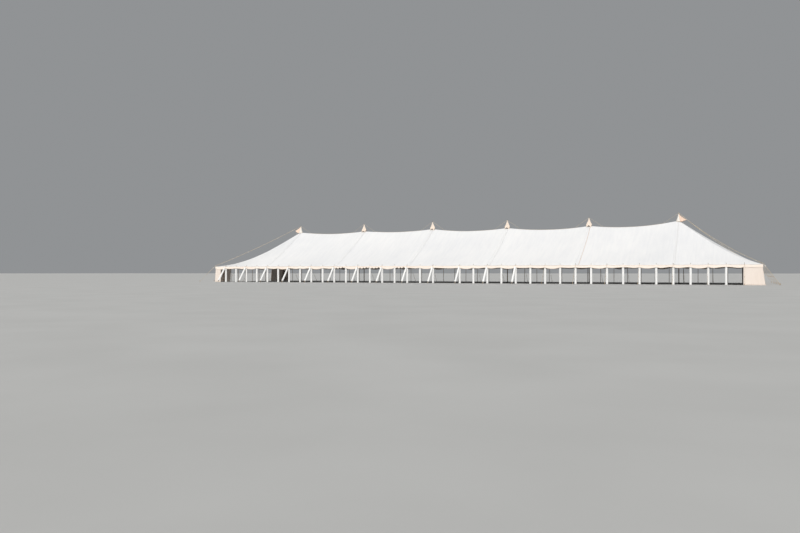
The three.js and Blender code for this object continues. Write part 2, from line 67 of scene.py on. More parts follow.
# King poles: a bonnet's neck is BONNET_TOPS above the canvas, and the spike stands out of it
BONNET_TOPS = np.array([0.095, 0.110, 0.110, 0.110, 0.110, 0.095])
BONNET_RIMS = np.array([0.028, 0.038, 0.038, 0.038, 0.038, 0.028])
SPIKE_STANDS = 0.017
KING_BOXES = [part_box(f"king_pole_{i}") for i in range(1, 7)]
KINGS = np.array([(low.x + high.x) / 2 for low, high in KING_BOXES])
SPIKES = np.array([high.z for low, high in KING_BOXES])
NECKS = SPIKES - SPIKE_STANDS
PEAKS = NECKS - BONNET_TOPS
LAST_KING = KINGS[-1]

# Cloth details
CLOTH = 0.0008
EAVE_DIP = 0.0035  # of the eave between two side poles
DIP_FADE = 0.07  # how far up the slope the dips reach
PANEL_BULGE = 0.0012
HEM_ROPE = 0.0012
SCALLOP = 0.016  # height of the notches between a valance's scallops
SCALLOPED_SECTION = 1
LAPS = (0.023, 0.042, 0.042, 0.042, 0.042, 0.020)  # of each canvas over the next one at a king pole
LAP_HEM = 0.005
WEBBING = 0.0025  # half the width of the tape along a hip
LACING_STEP = 0.024

# Poles, guys and pegs
SLEEVED_POLE = 0.0115
BARE_POLE = 0.004
WALL_FACE = 0.0038
WALL_GAP = 0.0003
ENTRANCE_POLE = 20
LAST_SLEEVED_GUY = 25
RUN = 10
GUY_REACH = 0.18
CORNER_REACH = 0.17
ROPE = 0.0012
EAVE_ROPE_OUT = ROPE + 0.0004
EAVE_ROPE_HEIGHT = EAVE - 0.003
PEG_LEAN = 0.22
PEG_HEIGHT = 0.024
PEG_TIE = 0.012
PIN_TOP = EAVE + 0.021

# The photograph's camera
CAMERA_PLACE = (3.706, -10.754, 0.148)
CAMERA_TURN = 0.4249
CAMERA_PITCH = 0.0084
LENS = 33.4


def make_camera():
    camera = bpy.data.objects.new("camera", bpy.data.cameras.new("camera"))
    camera.data.lens = LENS
    camera.data.sensor_width = 36.0
    camera.data.clip_end = 400.0
    camera.location = CAMERA_PLACE
    camera.rotation_euler = (math.pi / 2 + CAMERA_PITCH, 0, CAMERA_TURN)
    bpy.context.collection.objects.link(camera)
    bpy.context.scene.camera = camera


# Shapes, each as its points, its faces and their corners' uvs


class Parts:
    """Gathers shapes into one mesh with a material slot for each kind of surface."""

    def __init__(self, name, *materials):
        self.name = name
        self.materials = materials
        self.points, self.faces, self.uvs, self.slots = [], [], [], []
        self.count = 0

    def add(self, shape, material=0):
        """Adds a shape with the number of its material, or with one number for each face."""
        points, faces, uvs = shape
        self.points.append(points)
        self.faces += [[i + self.count for i in face] for face in faces]
        self.uvs += uvs
        self.slots += np.broadcast_to(material, len(faces)).tolist()
        self.count += len(points)

    def build(self):
        mesh = bpy.data.meshes.new(self.name)
        mesh.from_pydata(np.concatenate(self.points).tolist(), [], self.faces)
        layer = mesh.uv_layers.new(name="UVMap")
        layer.data.foreach_set("uv", np.concatenate(self.uvs).astype(np.float32).ravel())
        for material in self.materials:
            mesh.materials.append(material)
        mesh.polygons.foreach_set("material_index", self.slots)
        mesh.polygons.foreach_set("use_smooth", [True] * len(mesh.polygons))
        mesh.validate()
        piece = bpy.data.objects.new(self.name, mesh)
        bpy.context.collection.objects.link(piece)
        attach(piece, "root")
        return piece


def grid(points, wrap=False, uv_size=(1.0, 1.0)):
    """A surface through rows of points. The faces look to the side from which a row runs left to right
    and the rows run downwards."""
    rows, columns = points.shape[:2]
    last = columns if wrap else columns - 1
    wide, high = uv_size[0] / last, uv_size[1] / (rows - 1)
    faces, uvs = [], []
    for r, c in np.ndindex(rows - 1, last):
        corners = ((r, c), (r + 1, c), (r + 1, c + 1), (r, c + 1))
        faces.append([i * columns + j % columns for i, j in corners])
        uvs.append([(j * wide, i * high) for i, j in corners])
    return points.reshape(-1, 3), faces, uvs


def full_turn(count):
    """Angles evenly round a full turn, of which the last comes just before the first."""
    return np.linspace(0, 2 * math.pi, count, endpoint=False)


def line_length(points):
    return float(np.linalg.norm(np.diff(points, axis=0), axis=1).sum())


def unit(vector):
    return vector / np.linalg.norm(vector)


def frames_along(points):
    """Two unit normals for each point of a line, carried along it without twisting."""
    steps = np.diff(points, axis=0)
    tangents = np.vstack([steps[:1], steps[:-1] + steps[1:], steps[-1:]])
    tangents /= np.linalg.norm(tangents, axis=1, keepdims=True)
    up = (0, 0, 1) if abs(tangents[0][2]) < 0.9 else (1, 0, 0)
    normals = []
    for tangent in tangents:
        side = unit(np.cross(up, tangent))
        up = np.cross(tangent, side)
        normals.append((side, up))
    return np.swapaxes(normals, 0, 1)


def bar(rings, length):
    """A solid through rings of points, which it closes at both ends. Its uvs count metres along it."""
    sides = rings.shape[1]
    points, faces, uvs = grid(rings, wrap=True, uv_size=(1.0, length))
    ends = [range(sides), range(len(points) - 1, len(points) - 1 - sides, -1)]
    return points, faces + ends, uvs + [[(0.5, 0.0)] * sides, [(0.5, length)] * sides]


def tube(points, radius, sides=8, squash=1.0):
    """A round bar along a line, with one radius or one for each point. A loop has no ends."""
    points = np.asarray(points, float)
    radius = np.broadcast_to(radius, len(points))
    side, lift = frames_along(points)
    angle = full_turn(sides)
    wide, high = np.cos(angle)[None, :, None], squash * np.sin(angle)[None, :, None]
    skin = points[:, None] + radius[:, None, None] * (wide * side[:, None] + high * lift[:, None])
    length = line_length(points)
    if np.array_equal(points[0], points[-1]):
        return grid(skin[::-1], wrap=True, uv_size=(1.0, length))
    return bar(skin[::-1], length)


def lathe(profile, place, sides, axis=(0, 0, 1)):
    """A turned solid from (height, radius) pairs, lowest first, on an axis that rises by 1."""
    angle = full_turn(sides)
    circle = np.stack([np.cos(angle), np.sin(angle), 0 * angle], axis=1)
    rings = [place + height * np.array(axis) + radius * circle for height, radius in reversed(profile)]
    return bar(np.array(rings), profile[-1][0] - profile[0][0])


def ring(centre, radius, thickness, axis=(0, 0, 1), sides=12):
    """A torus with a six-sided section: a loop of rope or an iron ring."""
    turn = Vector((0, 0, 1)).rotation_difference(Vector(axis)).to_matrix()
    big, small = full_turn(sides), full_turn(6)
    out = radius + thickness * np.cos(small)[:, None]
    up = -thickness * np.sin(small)[:, None] + 0 * big
    points = np.stack([out * np.cos(big), out * np.sin(big), up], axis=2)
    points = points @ np.array(turn.transposed()) + np.array(centre)
    points = np.concatenate([points, points[:1]])
    return grid(points, wrap=True, uv_size=(2 * math.pi * radius, 1.0))


def thicken(piece):
    """Gives a sheet its cloth's thickness, inwards."""
    modifier = piece.modifiers.new("cloth", "SOLIDIFY")
    modifier.thickness = CLOTH
    modifier.offset = -1.0


def finish(parts, node_name=None):
    """Builds a piece with its material slots and, if one is named, hides the CAD node that it replaces."""
    made = parts.build()
    if node_name:
        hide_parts(node_name)
    return made


# The canvas surface


def bow(t):
    return 4 * t * (1 - t)


def mix(a, b, t):
    return a + (b - a) * t


def canvas_height(x, y):
    """Height of the taut canvas over the plan, for numbers or arrays."""
    x, y = np.asarray(x, float), np.asarray(y, float)
    section = np.clip(np.floor((x - KINGS[0]) / SECTION).astype(int), 0, len(PEAKS) - 2)
    along = (x - KINGS[section]) / SECTION
    across = np.abs(y) / HALF_WIDTH
    ridge = mix(PEAKS[section], PEAKS[section + 1], along) - RIDGE_SAGS[section] * bow(along)
    middle = mix(ridge, EAVE, across) - mix(SEAM_SAG, BAY_SAG, bow(along)) * bow(across)
    out = np.abs(x) - LAST_KING
    far = np.maximum(np.maximum(out, np.abs(y)), 1e-9)
    to_hip = np.clip(np.minimum(out, np.abs(y)) / far, 0, 1)
    peak = np.where(x < 0, PEAKS[0], PEAKS[-1])
    low = bow((far / END) ** LOW_SAG)
    straight = np.where(np.abs(y) > out, SEAM_SAG * bow(far / END), END_SAG * low)
    hip = np.where(x < 0, LEFT_HIP_SAG, RIGHT_HIP_SAG) * low
    end = mix(peak, EAVE, far / END) - mix(straight, hip, to_hip)
    return np.where(out > 0, end, middle)


def pole_fraction(along, side):
    """Where a point lies between the two side poles next to it, from 0 to 1."""
    fraction = np.mod(along / SPACING, 1.0)
    at_entrance = (side < 0) & (np.abs(along) < SPACING)
    return np.where(at_entrance, (along / SPACING + 1) / 2, fraction)


def eave_dip(along, side):
    return -EAVE_DIP * bow(pole_fraction(along, side))


def cloth_height(x, y):
    """The canvas with its dips between the side poles and a slight fullness in each width of cloth."""
    x, y = np.asarray(x, float), np.asarray(y, float)
    to_side = HALF_WIDTH - np.abs(y)
    to_end = HALF_LENGTH - np.abs(x)
    side_dip = eave_dip(x, np.sign(y)) * np.exp(-to_side / DIP_FADE)
    end_dip = eave_dip(y, 1.0) * np.exp(-to_end / DIP_FADE)
    fullness = PANEL_BULGE * bow(np.mod(x / SPACING, 1.0)) * bow(np.clip(to_side / HALF_WIDTH, 0, 1))
    ripple = 0.0008 * np.sin(9.1 * x + 3.7 * y) * np.sin(5.3 * y - 2.1 * x + 1.3)
    ripple = ripple * np.clip(to_side / 0.1, 0, 1) * np.clip(to_end / 0.1, 0, 1)
    return canvas_height(x, y) + np.where(to_side < to_end, side_dip, end_dip) + fullness + ripple


def on_cloth(x, y, lift=0.0):
    """The points of the canvas over these plan points, or so far above it."""
    return np.stack([x, y, cloth_height(x, y) + lift], axis=-1)


def open_crown(x, y):
    """Pulls plan points round a king pole back to the edge of its hole."""
    for king in KINGS:
        away = np.hypot(x - king, y)
        near = (away < 2.2 * CROWN_HOLE) & (away > 1e-3)
        scale = np.where(near, CROWN_HOLE / np.maximum(away, 1e-6), 1.0)
        x, y = king + (x - king) * scale, y * scale
    return x, y


def roof_shape(x, y):
    """The canvas over a grid of plan points, without the faces that would cover a king pole."""
    x, y = open_crown(x, y)
    points, faces, uvs = grid(on_cloth(x, y))
    at_king = {i for i, (px, py, _) in enumerate(points) if np.abs(KINGS - px).min() + abs(py) < 1e-3}
    kept = [(face, uv) for face, uv in zip(faces, uvs) if at_king.isdisjoint(face)]
    return points, [face for face, _ in kept], [uv for _, uv in kept]


# Materials


class Surface:
    """A procedural material. Most methods add a node and give back its output."""

    def __init__(self, name, roughness, **settings):
        self.material = bpy.data.materials.new(name)
        self.material.use_nodes = True
        self.tree = self.material.node_tree
        self.shader = self.tree.nodes["Principled BSDF"]
        for key, value in {"Roughness": roughness, **settings}.items():
            self.shader.inputs[key.replace("_", " ")].default_value = value

    def node(self, kind, inputs, **settings):
        """A node of this kind. An input takes a number or another node's output."""
        made = self.tree.nodes.new(kind)
        for key, value in settings.items():
            setattr(made, key, value)
        for key, value in inputs.items():
            if isinstance(value, bpy.types.NodeSocket):
                self.tree.links.new(value, made.inputs[key])
            else:
                made.inputs[key].default_value = value
        return made

    def place(self, output="Object", scale=(1, 1, 1), shift=(0, 0, 0)):
        source = self.node("ShaderNodeTexCoord", {}).outputs[output]
        inputs = {"Vector": source, "Scale": scale, "Location": shift}
        return self.node("ShaderNodeMapping", inputs).outputs["Vector"]

    def noise(self, place, scale, detail):
        inputs = {"Vector": place, "Scale": scale, "Detail": detail}
        return self.node("ShaderNodeTexNoise", inputs).outputs["Fac"]

    def wave(self, place, scale, direction):
        inputs = {"Vector": place, "Scale": scale}
        made = self.node("ShaderNodeTexWave", inputs, wave_type="BANDS", bands_direction=direction)
        return made.outputs["Fac"]

    def combined(self, operation, first, second):
        return self.node("ShaderNodeMath", {0: first, 1: second}, operation=operation).outputs["Value"]

    def total(self, first, second):
        return self.combined("ADD", first, second)

    def scaled(self, value, factor):
        return self.combined("MULTIPLY", value, factor)

    def colour(self, factor, low, high, colours):
        """Colours the surface: the first colour where the factor is low and the second where it is high."""
        made = self.node("ShaderNodeValToRGB", {"Fac": factor})
        for element, position, colour in zip(made.color_ramp.elements, (low, high), colours):
            element.position = position
            element.color = (*colour, 1)
        self.tree.links.new(made.outputs["Color"], self.shader.inputs["Base Color"])

    def bump(self, height, strength, distance):
        inputs = {"Height": height, "Strength": strength, "Distance": distance}
        made = self.node("ShaderNodeBump", inputs)
        self.tree.links.new(made.outputs["Normal"], self.shader.inputs["Normal"])


ONE_BAND = 2 * math.pi / 20  # the scale that gives one straight band to a unit, or half a diagonal one
WEAVE = 300.0
STRANDS = 3
ROPE_LAY = 130.0  # turns of a strand in a metre of rope


def cloth_material(name, light, dark):
    """Matt woven cloth: soft colour drift, a plain weave and slack creases."""
    cloth = Surface(name, 0.9, Sheen_Weight=0.15, Sheen_Roughness=0.5)
    place = cloth.place()
    cloth.colour(cloth.noise(place, 2.6, 5.0), 0.3, 0.72, (dark, light))
    threads = cloth.total(cloth.wave(place, WEAVE, "X"), cloth.wave(place, WEAVE, "Z"))
    slack = cloth.noise(place, 14.0, 3.0)
    cloth.bump(cloth.total(cloth.scaled(threads, 0.25), cloth.scaled(slack, 0.4)), 0.35, 0.002)
    return cloth.material


def rope_material(name, light, dark):
    """Three-strand laid rope: slanting strands from the uvs, which count metres along the rope, with painted
    shade in the grooves between the strands.
    """
    rope = Surface(name, 0.85, Sheen_Weight=0.2)
    strands = rope.wave(rope.place("UV", (1.0, ROPE_LAY, 1.0)), STRANDS * 2 * ONE_BAND, "DIAGONAL")
    fibres = rope.noise(rope.place(), 400.0, 2.0)
    # Colour: fibre noise, which is the rope's own, plus painted shade where the strands dip into their
    # grooves.
    rope.colour(rope.total(rope.scaled(strands, 0.6), fibres), 0.3, 1.1, (dark, light))
    rope.bump(strands, 0.8, 0.0008)
    return rope.material


def timber_material(name, light, dark):
    """Pole timber with its grain upright."""
    timber = Surface(name, 0.55, Coat_Weight=0.1)
    grain = timber.noise(timber.place(scale=(60, 60, 3.5)), 4.0, 6.0)
    timber.colour(grain, 0.32, 0.7, (dark, light))
    timber.bump(grain, 0.25, 0.001)
    return timber.material


def iron_material(name, light, dark):
    """Dull iron, darker in patches."""
    iron = Surface(name, 0.5, Metallic=0.85)
    patches = iron.noise(iron.place(), 120.0, 4.0)
    iron.colour(patches, 0.35, 0.65, (dark, light))
    iron.bump(patches, 0.2, 0.0005)
    return iron.material


def canvas_material():
    """The roof's proofed white canvas, slightly weathered and creased, with seams at the side poles."""
    canvas = Surface("roof canvas", 0.78, Sheen_Weight=0.1)
    place = canvas.place()
    drift = canvas.noise(place, 1.3, 5.0)
    streaks = canvas.noise(canvas.place(scale=(9.0, 1.2, 1.2)), 3.0, 4.0)
    tone = canvas.total(canvas.scaled(drift, 0.6), canvas.scaled(streaks, 0.4))
    bands = canvas.wave(canvas.place(shift=(SPACING / 4, 0, 0)), ONE_BAND / SPACING, "X")
    narrow = {"Value": bands, "From Min": 0.998, "From Max": 1.0}
    seams = canvas.node("ShaderNodeMapRange", narrow).outputs["Result"]
    tone = canvas.combined("SUBTRACT", tone, canvas.scaled(seams, 0.12))
    canvas.colour(tone, 0.36, 0.62, ((0.752, 0.755, 0.768), (0.828, 0.824, 0.822)))
    creases = canvas.noise(place, 7.0, 4.0)
    canvas.bump(canvas.total(seams, canvas.scaled(creases, 0.5)), 0.25, 0.002)
    return canvas.material


WHITE_CANVAS = canvas_material()
VALANCE_CLOTH = cloth_material("valance cloth", (0.955, 0.86, 0.775), (0.905, 0.785, 0.69))
WALL_CLOTH = cloth_material("wall cloth", (0.86, 0.77, 0.70), (0.79, 0.69, 0.61))
BONNET_CLOTH = cloth_material("bonnet cloth", (0.88, 0.76, 0.66), (0.80, 0.67, 0.56))
# The end bonnets' hood gores are the bonnet canvas painted orange: a painted glow of sunlight shining
# through the cloth from behind.
HOOD_PAINTED_BACKLIGHT = cloth_material("hood cloth painted backlit", (0.90, 0.71, 0.58), (0.82, 0.60, 0.47))
# The end bonnets' gores away from the hood are the bonnet canvas painted whitish: painted skylight.
SKYLIT_PAINTED_CLOTH = cloth_material("bonnet cloth painted skylit", (0.88, 0.84, 0.78), (0.81, 0.77, 0.71))
SLEEVE_CLOTH = cloth_material("sleeve cloth", (0.93, 0.925, 0.915), (0.88, 0.875, 0.865))
TAPE = cloth_material("binding tape", (0.84, 0.73, 0.62), (0.77, 0.66, 0.55))
# The hems are real, but their grey is painted shade: a darker strip that stands in for the shadow line along
# each lap's edge.
HEM_PAINTED_SHADE = cloth_material("hem canvas painted grey", (0.76, 0.76, 0.77), (0.70, 0.70, 0.71))
SEAM_TAPE = cloth_material("seam tape", (0.70, 0.55, 0.47), (0.61, 0.48, 0.42))
HEMP = rope_material("hemp rope", (0.62, 0.53, 0.40), (0.42, 0.34, 0.23))
COTTON = rope_material("cotton rope", (0.86, 0.82, 0.76), (0.68, 0.63, 0.56))
LACING_CORD = rope_material("lacing cord", (0.86, 0.85, 0.83), (0.76, 0.74, 0.71))
POLE_TIMBER = timber_material("pole timber", (0.42, 0.27, 0.14), (0.24, 0.14, 0.07))
PEG_TIMBER = timber_material("peg timber", (0.50, 0.36, 0.22), (0.32, 0.21, 0.12))
IRON = iron_material("iron", (0.16, 0.15, 0.14), (0.072, 0.0675, 0.063))
LAP_HEMS = {4: SEAM_TAPE, 5: WHITE_CANVAS}  # by king pole, where the hem isn't the grey one with painted shade


# Roof canvas

CORNERS = math.pi / 4 * np.array([1, 3, 5, 7])  # directions from a king pole to its bonnet's corners
NEAR_RIDGE = 0.004  # share of the half width at which a row on each side keeps the ridge crisp


def roof_section(index):
    x = np.linspace(KINGS[index] + SEAM_GAP / 2, KINGS[index + 1] - SEAM_GAP / 2, 61)
    y = np.sort(HALF_WIDTH * np.append(np.linspace(-1, 1, 101), [-NEAR_RIDGE, NEAR_RIDGE]))[::-1]
    piece = Parts(f"canvas_section_{index + 1}", WHITE_CANVAS)
    piece.add(roof_shape(*np.meshgrid(x, y)))
    made = finish(piece, f"roof_section_{index + 1}")
    lap(index + 1)
    thicken(made)


def round_end(out, reach, count):
    """Plan points out along the front, at these values of x, across the end and back along the rear."""
    face = np.linspace(-reach, reach, count)[1:-1]
    x = np.concatenate([out, np.full_like(face, out[-1]), out[::-1]])
    y = np.concatenate([np.full_like(out, -reach), face, np.full_like(out, reach)])
    return x, y


def end_plan(side, reach):
    """One ring of the end canvas in plan."""
    out = side * np.linspace(LAST_KING + SEAM_GAP / 2, LAST_KING + reach, 25)
    x, y = round_end(out, reach, 50)
    return x[::side], y[::side]


def roof_end(name, side):
    shares = np.append(CROWN_HOLE / END, np.linspace(0.04, 1.0, 49))
    plans = np.array([end_plan(side, share * END) for share in shares])
    piece = Parts(f"canvas_end_{name}", WHITE_CANVAS)
    piece.add(grid(on_cloth(plans[:, 0], plans[:, 1])))
    made = finish(piece, f"roof_end_{name}")
    sewn_on = [hip_webbing(name, side)] + ([lap(0)] if side < 0 else [])
    thicken(made)


def hip_webbing(name, side):
    """The tape that is sewn down each hip of an end, from the bonnet to the corner."""
    # The webbing takes the hems' grey, which is painted shade.
    piece = Parts(f"hip_webbing_{name}", HEM_PAINTED_SHADE)
    out = np.linspace(0.045, 0.996, 60)[:, None] * END
    offsets = WEBBING * np.array([-1.0, -0.4, 0.4, 1.0])
    lift = (0.0003, 0.0009, 0.0009, 0.0003)
    for end in (-1, 1):
        x = side * (LAST_KING + out) - end * offsets
        y = end * out + side * offsets
        piece.add(grid(on_cloth(x, y, lift)))
    return finish(piece)


# Valances

VALANCE_OUT = 0.0006  # outside the eave
HEM_SPARE = 0.003  # how much of its drop a valance keeps for slack
LEAST_SLACK = 0.002  # of the bottom edge between two poles
MORE_SLACK = 0.004  # that chance can add
FULL_SLACK = 0.009  # more in every third bay
EDGE_SLOPE = 0.010  # how unevenly chance can make a plain bay's edge hang
VALANCE_FOLDS = ((0.047, 0.45), (0.071, 0.6), (0.029, 0.25))  # wavelengths and weights
FOLD_DEPTH, FLAT_FOLD_DEPTH = 0.0016, 0.0004


def bay_number(along):
    return np.floor((along + HALF_LENGTH) / SPACING + 1e-6).astype(int)


def scallops(along):
    """Four round scallops to a bay, but for every third bay."""
    belly = np.abs(np.sin(4 * math.pi * along / SPACING)) ** 1.3
    return np.where(bay_number(along) % 3 != 0, SCALLOP * (1 - belly), 0.0)


def valance_surface(x, y, along, side, outward, seed, flat, notches):
    """A strip that hangs from the eave, with a slack bottom edge and soft folds, or flat over a wall."""
    local = np.random.default_rng(seed)
    rows = np.linspace(0, 1, 9)
    bay = bay_number(along)
    full = bay % 3 == 0
    slack = LEAST_SLACK + MORE_SLACK * local.random(SIDE_SPACINGS + 1)[bay] + FULL_SLACK * full
    slope = EDGE_SLOPE * (local.random(SIDE_SPACINGS + 1)[bay] - 0.5) * ~full
    share = pole_fraction(along, side)
    hang = slack * bow(share) ** 0.8 + slope * np.sin(2 * math.pi * share) - notches
    drop = VALANCE - HEM_SPARE + np.where(flat, 0.001, hang)
    wavy = np.zeros(len(along))
    for wavelength, weight in VALANCE_FOLDS:
        wavy += weight * np.sin(2 * math.pi * along / wavelength + 6.28 * local.random())
    wavy *= np.where(flat, FLAT_FOLD_DEPTH, FOLD_DEPTH)
    top = EAVE - 0.0012 + eave_dip(along, side)
    z = top[None] - rows[:, None] * drop[None]
    push = rows[:, None] ** 1.3 * (wavy + 0.0012)[None]
    return np.stack([x + outward[0] * push, y + outward[1] * push, z], axis=2)


def valance_section(name, side, index):
    x = np.linspace(KINGS[index] + SEAM_GAP, KINGS[index + 1] - SEAM_GAP, 241)
    y = side * (HALF_WIDTH + VALANCE_OUT)
    notches = scallops(x) if index == SCALLOPED_SECTION else 0.0
    seed = 10 * index + (side > 0)
    points = valance_surface(x, y, x, side, (0.0, side), seed, False, notches)
    finish_valance(f"valance_{name}_{index + 1}", points[:, ::-side])


def valance_end(name, side):
    """The end's valance wraps round both corners."""
    reach = HALF_WIDTH + VALANCE_OUT
    out = side * np.linspace(LAST_KING + SEAM_GAP, HALF_LENGTH + VALANCE_OUT, 201)
    x, y = round_end(out, reach, 401)
    at_end = np.abs(y) < reach
    sides = np.where(at_end, 1.0, np.sign(y))
    outward = np.where(at_end, side, 0.0), np.where(at_end, 0.0, sides)
    walled = x > HALF_LENGTH - SPACING
    points = valance_surface(x, y, np.where(at_end, y, x), sides, outward, 90 + side, walled, 0.0)
    finish_valance(f"valance_end_{name}", points[:, ::side])


def finish_valance(name, points):
    """A valance of these rows of points, with a binding along its bottom edge."""
    piece = Parts(name, VALANCE_CLOTH)
    piece.add(grid(points))
    made = finish(piece)
    tape = Parts(f"{name}_tape", TAPE)
    tape.add(tube(points[-1, ::2], 0.0011, sides=6))
    finish(tape)


# Laps over the joints between canvases, with their lacing


def lap_width(index, across):
    """How far a canvas laps over the next one: less at the crown, and drawn in again at the eave."""
    share = np.clip(across / HALF_WIDTH, 0, 1)
    at_eave = np.clip((share - 0.985) / 0.015, 0, 1)
    sway = 0.0015 * np.sin(7.0 * share + 1.7 * index) * share
    return LAPS[index] * (0.5 + 0.5 * share**0.6) * (1 - 0.5 * at_eave) + sway


def lap(index):
    """The edge of the canvas on the left of a king pole, which covers the joint and ends in a hem."""
    # The hem strip is greyed with painted shade for the shadow line along the lap's edge.
    piece = Parts(f"canvas_lap_{index + 1}", WHITE_CANVAS, LAP_HEMS.get(index, HEM_PAINTED_SHADE))
    across = HALF_WIDTH * np.concatenate([np.linspace(0.034, 0.97, 60), np.linspace(0.975, 0.998, 9)])
    width = lap_width(index, across)
    edges = (
        (np.stack([0 * width - 0.003, width - LAP_HEM - 0.0004], axis=1), (0.0004, 0.0012)),
        (np.stack([width - LAP_HEM, width - 0.0004, width], axis=1), (0.0014, 0.0016, 0.0002)),
    )
    for side in (-1, 1):
        for material, (offsets, lifts) in enumerate(edges):
            points = on_cloth(KINGS[index] + offsets, side * across[:, None] + 0 * offsets, lifts)
            piece.add(grid(points[:, ::-side]), material)
    return finish(piece)


def lacing(index):
    """The chain of rope loops that comes up through the lap's eyelets and runs down both slopes."""
    piece = Parts(f"lacing_{index + 1}", LACING_CORD)
    for side in (-1, 1):
        for start in np.arange(0.045, HALF_WIDTH - 0.006, LACING_STEP):
            middle = KINGS[index] + float(lap_width(index, start)) - LAP_HEM - 0.003
            piece.add(lacing_loop(middle, side, start))
    finish(piece)


def lacing_loop(middle, side, start):
    """One elongated loop of the chain, which lies on the lap."""
    turn = full_turn(9)
    across = start + 0.5 * LACING_STEP * (1 + 1.05 * np.cos(turn))
    x = middle + 0.0022 * np.sin(turn)
    loop = on_cloth(x, side * across, 0.0022 + 0.0006 * np.cos(turn))
    return tube([*loop, loop[0]], 0.0006, sides=4)


# Bonnets over the king poles

BONNET_NECK = 0.0049
BONNET_HOLLOW = 1.45  # above 1 the sides are hollow
BONNET_REST = 0.0012  # above the canvas
ARCH_HALF_ANGLE = 0.7
ARCH_HEIGHT = 0.030
LOW_ARCH = 0.3  # share of that height on an end bonnet
HOOD_REACH = 0.072
HOOD_LIPS = {0: 0.032, 5: 0.012}  # above the canvas height at the pole
HOOD_HALF_ANGLE = 1.05
HOOD_GORE = 1.0  # radians from the hood's middle to its seams
TIE = 0.0006  # radius of a tie or a seam's tape


def openness(angle, middle, half_angle):
    """How open the rim is: 1 in the middle of an arch or hood and 0 beyond its half angle."""
    off = np.abs(np.arctan2(np.sin(angle - middle), np.cos(angle - middle)))
    return np.where(off < half_angle, np.cos(np.clip(off / half_angle, 0, 1) * math.pi / 2) ** 0.7, 0.0)


def facing(index):
    """The way in which an end bonnet's hood opens."""
    return 0.0 if KINGS[index] > 0 else math.pi


def bonnet_rim(index, angle):
    """The rim's plan radius and height: four corners on the canvas, arches between, and a hood at an end."""
    king = KINGS[index]
    quarter = np.round(angle / (math.pi / 2)) * (math.pi / 2)
    arch = openness(angle, quarter, ARCH_HALF_ANGLE)
    hood = np.zeros_like(angle)
    if index in HOOD_LIPS:
        hood = openness(angle, facing(index), HOOD_HALF_ANGLE)
        arch = LOW_ARCH * arch
    radius = BONNET_RIMS[index] + HOOD_REACH * hood
    canvas = canvas_height(king + radius * np.cos(angle), radius * np.sin(angle))
    height = canvas + BONNET_REST + ARCH_HEIGHT * arch
    hooded = np.maximum(mix(height, PEAKS[index] + HOOD_LIPS.get(index, 0.0), hood), height)
    return radius, np.where(hood > 0, hooded, height)


def bonnet_point(index, angle, down):
    """A point of the bonnet: down runs from 0 at the neck to 1 at the rim."""
    radius, height = bonnet_rim(index, angle)
    r = mix(BONNET_NECK, radius, down**BONNET_HOLLOW)
    z = mix(NECKS[index], height, down)
    r = r * (1 + 0.10 * np.sin(12 * angle + 2.0 * index) * np.exp(-down / 0.25))
    return np.stack([KINGS[index] + r * np.cos(angle), r * np.sin(angle), z + 0 * r], axis=-1)


def bonnet(index):
    angle = full_turn(96)
    down = np.linspace(0, 1, 22)
    skin = bonnet_point(index, *np.meshgrid(angle, down))
    hooded = index in HOOD_LIPS
    # An end bonnet's hood gores take the painted backlight glow instead of the plain bonnet canvas.
    cloth = Parts(f"bonnet_cloth_{index + 1}", HOOD_PAINTED_BACKLIGHT if hooded else BONNET_CLOTH, SKYLIT_PAINTED_CLOTH)
    # Mask of the gores away from the hood, which get the painted skylight.
    painted_skylight = (np.cos(angle + 0.03 - facing(index)) < math.cos(HOOD_GORE)) & hooded
    cloth.add(grid(skin, wrap=True), np.tile(painted_skylight.astype(int), len(down) - 1))
    made = finish(cloth, f"bonnet_{index + 1}")
    thicken(made)
    bonnet_trim(index, skin[-1])


def bonnet_trim(index, rim):
    """The rim's binding, tapes over the seams, ties from the four corners and turns of cord at the neck."""
    trim = Parts(f"bonnet_trim_{index + 1}", TAPE, COTTON)
    trim.add(tube([*rim, rim[0]], 0.0009, sides=6))
    for corner in CORNERS:
        seam = bonnet_point(index, np.full(20, seam_angle(index, corner)), np.linspace(0.03, 1, 20))
        trim.add(tube(seam, TIE, sides=5))
        start = bonnet_point(index, corner, np.array(1.0))
        foot = start + 0.014 * np.array([math.cos(corner), math.sin(corner), 0.0])
        foot[2] = canvas_height(foot[0], foot[1]) + 0.0008
        trim.add(tube([start, 0.5 * (start + foot), foot], TIE, sides=5), 1)
        trim.add(ring(foot, 0.0022, TIE), 1)
    neck = np.array([KINGS[index], 0.0, NECKS[index] - 0.004])
    for turn in range(3):
        trim.add(ring(neck - (0, 0, 0.0016 * turn), BONNET_NECK + 0.0008, 0.0009), 1)
    finish(trim)


def seam_angle(index, corner):
    """The seam near a corner: at the corner, or at the side of the hood."""
    off = corner - facing(index)
    if index in HOOD_LIPS and math.cos(off) > 0:
        return facing(index) + math.copysign(HOOD_GORE, math.sin(off))
    return corner


# King poles, with profiles as (height, radius) pairs

BASE_PLATE = [(0, 0.0215), (0.0005, 0.022), (0.0026, 0.022), (0.003, 0.0212)]
SOCKET = [(0.003, 0.0095), (0.018, 0.0085), (0.019, 0.0078)]
JOINT_BANDS = (0.34, 0.36, 0.66, 0.68)  # shares of the height under the canvas
CROWN_DROP = 0.0074  # of the canvas crown's top below the peak
CROWN_SLOPE = 0.0104


